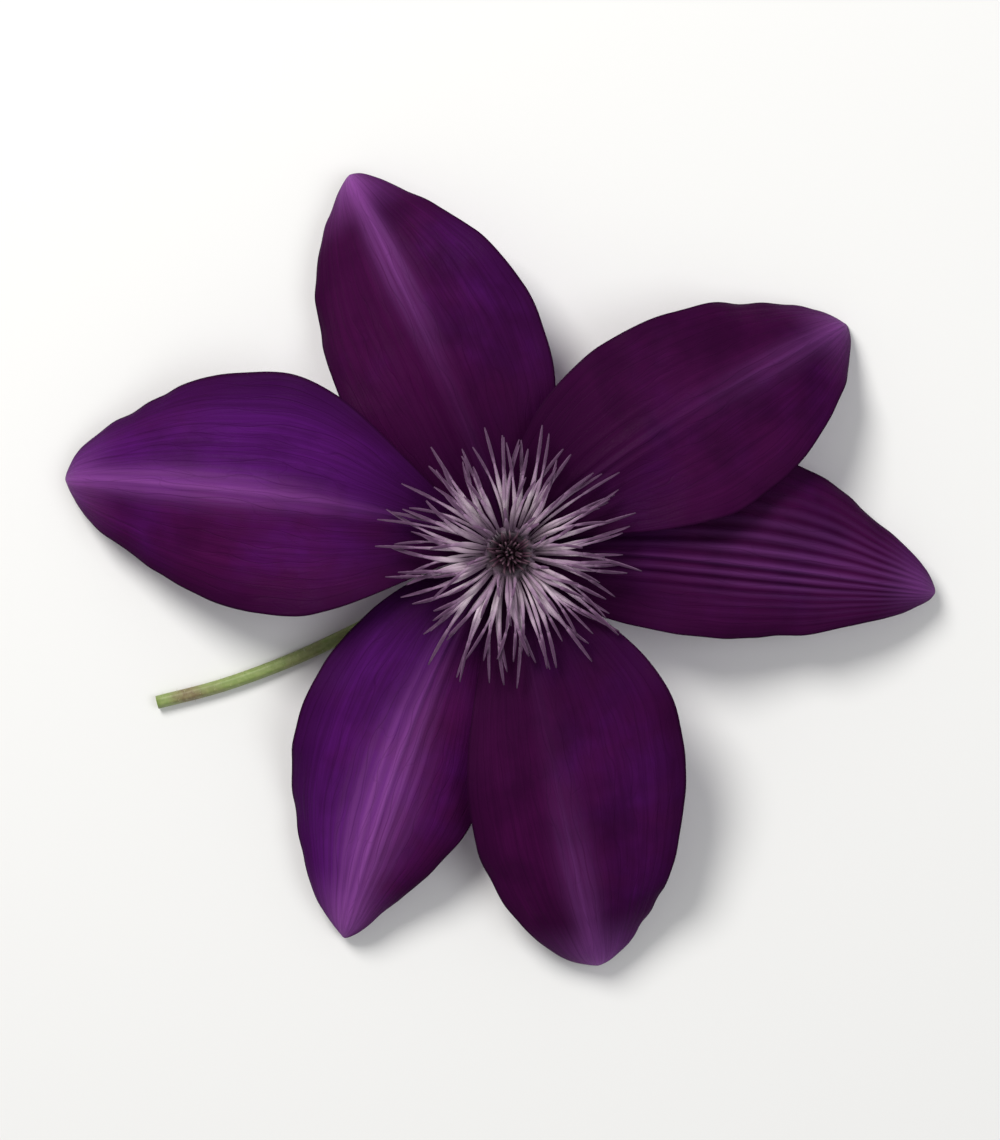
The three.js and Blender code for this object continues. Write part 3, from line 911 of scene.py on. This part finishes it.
def hair_material():
    material, tree, shader = new_material("hair", {"Roughness": 0.4})
    shade = step(tree, texture_noise(tree, object_place(tree), 400.0, 2.0), 0.3, 0.7)
    tree.links.new(mix(tree, shade, *HAIR_COLOURS), shader.inputs["Base Color"])
    return material


def floor_material(settings):
    material, tree, shader = new_material("floor", {"Roughness": 0.7})
    shade = step(tree, texture_noise(tree, object_place(tree), 3.0, 3.0), 0.3, 0.7, 0.0, 0.04)
    tree.links.new(mix(tree, shade, settings.floor, FLOOR_SHADE), shader.inputs["Base Color"])
    return material


# ------------------------------------------------------------------ operators

class CLEMATIS_OT_add_petals(bpy.types.Operator):
    """Add the six petals, each a thin blade with its ribs, pleats and veins."""
    bl_idname = "clematis.add_petals"
    bl_label = "Add petals"

    def execute(self, context):
        settings = context.scene.clematis_petals
        underside = petal_underside_material(settings)
        for name, petal in PETALS.items():
            marks = PETAL_MARKS[name]
            face = petal_face_material(settings, marks)
            mesh = petal_mesh(petal, marks["pleats"], settings)
            add_piece(mesh, f"{name}_blade", [face, underside], [name])
        return {"FINISHED"}


class CLEMATIS_OT_add_stamens(bpy.types.Operator):
    """Add the stamens: flat filaments on a ring, and the anthers at their ends."""
    bl_idname = "clematis.add_stamens"
    bl_label = "Add stamens"

    def execute(self, context):
        settings = context.scene.clematis_stamens
        draw = random.Random(settings.seed)
        template = tube_template(STRAP_SIDES, STRAP_RINGS)
        filaments = bmesh.new()
        anthers = bmesh.new()
        filaments.from_mesh(turned(RING, RING_STEPS))
        width = settings.width / MM
        for whorl, azimuth in spread_round(draw, STAMEN_WHORLS, STAMEN_JITTER):
            turn = either_way(draw, STAMEN_JITTER["turn"])
            reach = whorl["reach"] + either_way(draw, whorl["spread"])
            height = whorl["height"] + either_way(draw, STAMEN_JITTER["height"])
            out, rise = whorl["knee"]
            rise += either_way(draw, STAMEN_JITTER["knee"])
            control = [
                around(whorl["root"], azimuth, RING_TOP - STAMEN_ROOT_DEPTH),
                around(out, azimuth - turn / 2, rise),
                around(reach, azimuth + turn / 2, height),
            ]
            wide = width * draw.uniform(*STAMEN_WIDTHS)
            twist = either_way(draw, STAMEN_JITTER["twist"])
            split = 1 - ANTHER_SHARE * draw.uniform(*ANTHER_LENGTHS)
            anther_wide = lerp(width, wide, 0.5) * ANTHER_WIDTH
            lay_tube(filaments, template, STRAP_RINGS, strap_stations(
                control, 0, split + ANTHER_OVERLAP,
                lambda s: wide * lerp(0.5, 1, smooth(0.1, 0.7, s)) * lerp(1, 0.5, smooth(0.72, 1, s)),
                lambda s: lerp(*FILAMENT_THICKNESS, s), twist))
            lay_tube(anthers, template, STRAP_RINGS, strap_stations(
                control, split, 1, lambda s: anther_wide * anther_width(s),
                lambda s: ANTHER_THICKNESS * anther_width(s), twist * ANTHER_TWIST),
                section=anther_section)
        add_piece(filaments, "filaments", [filament_material(settings)], ["stamens"])
        add_piece(anthers, "anthers", [anther_material(settings)], ["stamens"])
        return {"FINISHED"}


class CLEMATIS_OT_add_styles(bpy.types.Operator):
    """Add the dark tuft of silky styles in the middle, on its small dome."""
    bl_idname = "clematis.add_styles"
    bl_label = "Add styles"

    def execute(self, context):
        settings = context.scene.clematis_styles
        draw = random.Random(STYLE_SEED)
        template = tube_template(STYLE_SIDES, STRAP_RINGS)
        mesh = bmesh.new()
        mesh.from_mesh(turned(DOME, DOME_STEPS))
        width = settings.width / MM
        root_height = DOME[-1][1] - STYLE_ROOT_DEPTH

        def taper(share):
            return width * lerp(*STYLE_TAPER, share)

        for whorl, azimuth in spread_round(draw, STYLE_WHORLS, STYLE_JITTER):
            lean = whorl["lean"] + either_way(draw, STYLE_JITTER["lean"])
            height = whorl["height"] + either_way(draw, STYLE_JITTER["height"])
            knee_azimuth = azimuth + either_way(draw, STYLE_JITTER["knee"])
            tip_azimuth = azimuth + either_way(draw, STYLE_JITTER["tip"])
            control = [
                around(min(STYLE_ROOT_RADIUS, lean * 0.6), azimuth, root_height),
                around(lean * 0.5, knee_azimuth, height),
                around(lean, tip_azimuth, height - STYLE_DIP),
            ]
            lay_tube(mesh, template, STRAP_RINGS, strap_stations(control, 0, 1, taper, taper))
        add_piece(mesh, "style_tuft", [style_material(settings)], ["styles"])
        return {"FINISHED"}


class CLEMATIS_OT_add_stalk(bpy.types.Operator):
    """Add the knob that carries the flower and the stalk under it, with its ridges and fine hairs."""
    bl_idname = "clematis.add_stalk"
    bl_label = "Add stalk"

    def execute(self, context):
        settings = context.scene.clematis_stalk
        radius = settings.radius / MM
        outward = math.radians(STALK_AZIMUTH)
        ahead = Vector((math.cos(outward), math.sin(outward), 0))
        sideways = Vector((-math.sin(outward), math.cos(outward), 0))
        foot = Vector((AXIS[0], AXIS[1], 0))
        route = [foot + ahead * a + sideways * s + Vector((0, 0, h)) for a, s, h in STALK_ROUTE]
        middle = self.curve_through(route, STALK_STEPS)
        centres = [foot + Vector((0, 0, height)) for _, height in KNOB] + middle
        radii = [wide for wide, _ in KNOB]
        for i in range(len(middle)):
            radii.append(radius * lerp(STALK_FLARE, 1, smooth(0, STALK_FLARE_STEPS, i)))
        stations = []
        for i, centre in enumerate(centres):
            along = (centres[min(i + 1, len(centres) - 1)] - centres[max(i - 1, 0)]).normalized()
            level = (sideways - along * sideways.dot(along)).normalized()
            stations.append((centre, level, along.cross(level), radii[i], radii[i]))
        rings = len(stations) - 1
        mesh = bmesh.new()

        def ribbed(x, y):
            swell = 1 + STALK_RIB_HEIGHT * math.cos(STALK_RIBS * math.atan2(y, x))
            return x * swell, y * swell

        lay_tube(mesh, tube_template(STALK_SIDES, rings), rings, stations, section=ribbed)
        bmesh.ops.recalc_face_normals(mesh, faces=mesh.faces)
        add_piece(mesh, "stalk_and_knob", [stalk_material(settings)], ["stalk"])
        add_piece(self.hairs(settings, stations), "stalk_hairs", [hair_material()], ["stalk"])
        return {"FINISHED"}

    def curve_through(self, points, steps):
        """Points on the smooth curve through these points."""
        padded = [2 * points[0] - points[1]] + points + [2 * points[-1] - points[-2]]
        curve = []
        for a, b, c, d in zip(padded, padded[1:], padded[2:], padded[3:]):
            for i in range(steps):
                t = i / steps
                curve.append(0.5 * (2 * b + (c - a) * t + (2 * a - 5 * b + 4 * c - d) * t ** 2
                                    + (3 * b - a - 3 * c + d) * t ** 3))
        return curve + [points[-1]]

    def hairs(self, settings, stations):
        """Fine hairs all round the stalk, without those that would reach into the surface under it."""
        draw = random.Random(HAIR_SEED)
        template = tube_template(3, 2)
        mesh = bmesh.new()
        first = len(KNOB) + 2
        for _ in range(settings.hairs):
            centre, level, up, wide, _ = stations[draw.randrange(first, len(stations) - 1)]
            angle = draw.uniform(0, 2 * math.pi)
            out = level * math.cos(angle) + up * math.sin(angle)
            root = centre + out * wide * HAIR_ROOT
            length = draw.uniform(*HAIR_LENGTHS)
            lean = Vector([either_way(draw, HAIR_LEAN) for _ in range(3)])
            tip = root + (out + lean) * length
            if tip.z < HAIR_CLEARANCE:
                continue
            side = out.cross(HAIR_SLANT).normalized()
            across = out.cross(side)
            places = root, root.lerp(tip, HAIR_MIDDLE), tip
            lay_tube(mesh, template, 2, [
                (place, side, across, radius, radius) for place, radius in zip(places, HAIR_RADII)])
        bmesh.ops.recalc_face_normals(mesh, faces=mesh.faces)
        return mesh


class CLEMATIS_OT_set_stage(bpy.types.Operator):
    """Add the pale floor, the soft lights and the camera that looks down on the flower."""
    bl_idname = "clematis.set_stage"
    bl_label = "Set stage"

    def execute(self, context):
        settings = context.scene.clematis_stage
        scene = context.scene
        mesh = bmesh.new()
        bmesh.ops.create_grid(mesh, x_segments=1, y_segments=1, size=FLOOR_SIZE)
        data = as_data(mesh, "floor")
        data.materials.append(floor_material(settings))
        floor = bpy.data.objects.new("floor", data)
        scene.collection.objects.link(floor)

        for name, lamp in LIGHTS.items():
            self.add_light(scene, name, **lamp)
        world = bpy.data.worlds.new("studio")
        world.use_nodes = True
        sky = world.node_tree.nodes["Background"]
        sky.inputs[0].default_value = SKY_COLOUR
        sky.inputs[1].default_value = SKY_STRENGTH
        scene.world = world

        camera_data = bpy.data.cameras.new("camera")
        camera_data.sensor_fit = "HORIZONTAL"
        camera_data.lens = camera_data.sensor_width * settings.distance / settings.view_width
        camera_data.clip_end = CAMERA_SIGHT
        camera = bpy.data.objects.new("camera", camera_data)
        camera.location = (0, 0, settings.distance)
        scene.collection.objects.link(camera)
        scene.camera = camera
        scene.view_settings.view_transform = "Standard"
        return {"FINISHED"}

    def add_light(self, scene, name, place, size, power, colour):
        """Adds a round soft light that points at the flower."""
        light = bpy.data.lights.new(name, "AREA")
        light.shape = "DISK"
        light.size = size
        light.energy = power
        light.color = colour
        lamp = bpy.data.objects.new(name, light)
        lamp.location = place
        lamp.rotation_euler = (-Vector(place)).to_track_quat("-Z", "Y").to_euler()
        scene.collection.objects.link(lamp)


class CLEMATIS_PT_panel(bpy.types.Panel):
    """Lists the flower's settings and its makers."""
    bl_idname = "CLEMATIS_PT_panel"
    bl_label = "Clematis bloom"
    bl_space_type = "VIEW_3D"
    bl_region_type = "UI"
    bl_category = "Clematis"

    def draw(self, context):
        for name, _, operator in SECTIONS:
            box = self.layout.box()
            settings = getattr(context.scene, name)
            for key in settings.bl_rna.properties.keys():
                if key not in ("rna_type", "name"):
                    box.prop(settings, key)
            box.operator(operator.bl_idname)


SECTIONS = [
    ("clematis_petals", ClematisPetalSettings, CLEMATIS_OT_add_petals),
    ("clematis_stamens", ClematisStamenSettings, CLEMATIS_OT_add_stamens),
    ("clematis_styles", ClematisStyleSettings, CLEMATIS_OT_add_styles),
    ("clematis_stalk", ClematisStalkSettings, CLEMATIS_OT_add_stalk),
    ("clematis_stage", ClematisStageSettings, CLEMATIS_OT_set_stage),
]


def register():
    for name, settings, operator in SECTIONS:
        bpy.utils.register_class(settings)
        setattr(bpy.types.Scene, name, PointerProperty(type=settings))
        bpy.utils.register_class(operator)
    bpy.utils.register_class(CLEMATIS_PT_panel)


def unregister():
    bpy.utils.unregister_class(CLEMATIS_PT_panel)
    for name, settings, operator in reversed(SECTIONS):
        bpy.utils.unregister_class(operator)
        delattr(bpy.types.Scene, name)
        bpy.utils.unregister_class(settings)


def main():
    register()
    bpy.ops.clematis.add_petals()
    bpy.ops.clematis.add_stamens()
    bpy.ops.clematis.add_styles()
    bpy.ops.clematis.add_stalk()
    bpy.ops.clematis.set_stage()


if __name__ == "__main__":
    main()
